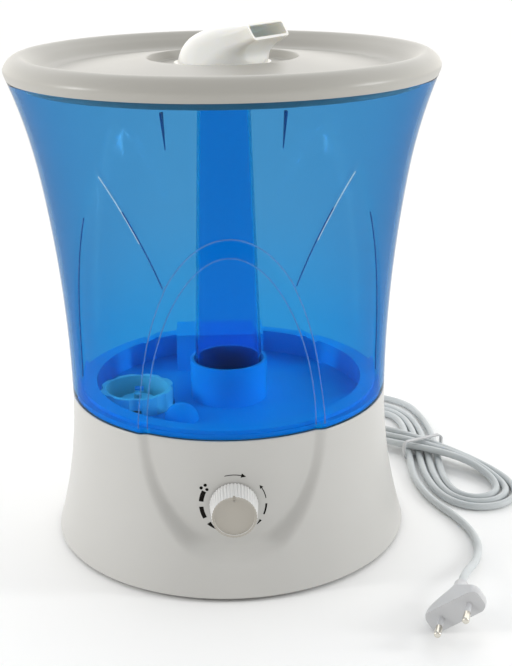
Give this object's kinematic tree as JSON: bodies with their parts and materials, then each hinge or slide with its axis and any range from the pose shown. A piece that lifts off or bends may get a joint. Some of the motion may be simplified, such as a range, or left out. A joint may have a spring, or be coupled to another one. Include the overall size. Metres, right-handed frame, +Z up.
{
  "type": "cool mist humidifier",
  "caption": "Round tabletop ultrasonic humidifier: white base with control knob, lift-off blue translucent tank with mist chimney, lid with turning nozzle, and coiled mains cord.",
  "frame": {"origin": "centre of the base on the floor, under the feet", "axes": "+Z up along the tank axis, -Y towards the front with the knob, +X to the right, where the cord lies"},
  "size_m": [0.3368, 0.3778, 0.3296],
  "materials": {
    "white_gloss": "gloss",
    "white_basin": "satin",
    "blue_tank": "clear gloss",
    "blue_chimney": "clear gloss",
    "grey_plate": "matte",
    "grey_rubber": "matte",
    "black_rubber": "matte",
    "steel": "bright",
    "piezo": "polished",
    "aluminium": "satin",
    "board_green": "satin",
    "part_black": "satin",
    "core_steel": "satin",
    "copper_wire": "lacquered",
    "duct_white": "matte",
    "reed_glass": "clear",
    "float_white": "satin",
    "magnet": "plated",
    "brass_nut": "bright",
    "cap_white": "satin",
    "cord_grey": "satin",
    "plug_white": "satin",
    "pin_metal": "nickel plated"
  },
  "bodies": {
    "base": {"base_housing": "white_gloss", "basin": "white_basin", "bottom_plate": "grey_plate", "rubber_feet": "grey_rubber", "plate_screws": "steel", "transducer_disc": "piezo", "transducer_seal": "black_rubber", "transducer_clamp": "aluminium", "clamp_screws": "steel", "driver_board": "board_green", "heat_sink": "aluminium", "board_parts": "part_black", "transformer_core": "core_steel", "transformer_coil": "copper_wire", "fan_frame": "part_black", "air_duct": "duct_white", "reed_switch": "reed_glass", "float_clip": "float_white", "pot_body": "steel", "pot_nut": "brass_nut", "cord_gland": "plug_white", "cord_lead": "cord_grey", "cord_hank": "cord_grey", "cord_tail": "cord_grey", "cord_tie": "plug_white", "plug_body": "plug_white", "plug_sleeves": "plug_white", "plug_pins": "pin_metal"},
    "knob": {"knob": "white_gloss", "knob_shaft": "steel"},
    "fan": {"fan_impeller": "part_black"},
    "float": {"float_body": "float_white", "float_magnet": "magnet"},
    "tank": {"tank_shell": "blue_tank", "tank_pan": "blue_tank", "chimney": "blue_chimney"},
    "cap": {"fill_cap": "cap_white", "cap_gasket": "black_rubber", "valve_spring": "steel"},
    "valve": {"valve_stem": "steel", "valve_seal": "black_rubber"},
    "lid": {"lid": "white_gloss"},
    "nozzle": {"nozzle": "white_gloss"}
  },
  "joints": [
    {"name": "tank_lift", "type": "slide", "parent": "base", "child": "tank", "axis": [0, 0, 1], "range_m": [0, 0.2]},
    {"name": "lid_lift", "type": "slide", "parent": "tank", "child": "lid", "axis": [0, 0, 1], "range_m": [0, 0.1]},
    {"name": "nozzle_turn", "type": "hinge", "parent": "lid", "child": "nozzle", "pos_m": [0, 0, 0.303], "axis": [0, 0, 1], "continuous": true},
    {"name": "knob_turn", "type": "hinge", "parent": "base", "child": "knob", "pos_m": [0, -0.1, 0.057], "axis": [0, -1, 0], "range_deg": [-150, 150]},
    {"name": "fan_spin", "type": "hinge", "parent": "base", "child": "fan", "pos_m": [-0.005, 0.06, 0.014], "axis": [0, 0, 1], "continuous": true},
    {"name": "float_rise", "type": "slide", "parent": "base", "child": "float", "axis": [0, 0, 1], "range_m": [0, 0.006]},
    {"name": "cap_turn", "type": "hinge", "parent": "tank", "child": "cap", "pos_m": [-0.06, -0.012, 0.075], "axis": [0, 0, -1], "range_deg": [0, 540]},
    {"name": "valve_slide", "type": "slide", "parent": "cap", "child": "valve", "axis": [0, 0, 1], "range_m": [-0.003, 0], "deforming": ["valve_spring"]}
  ],
  "couplings": [
    {"joint": "valve_slide", "follows": "tank_lift", "ratio": -0.015}
  ]
}
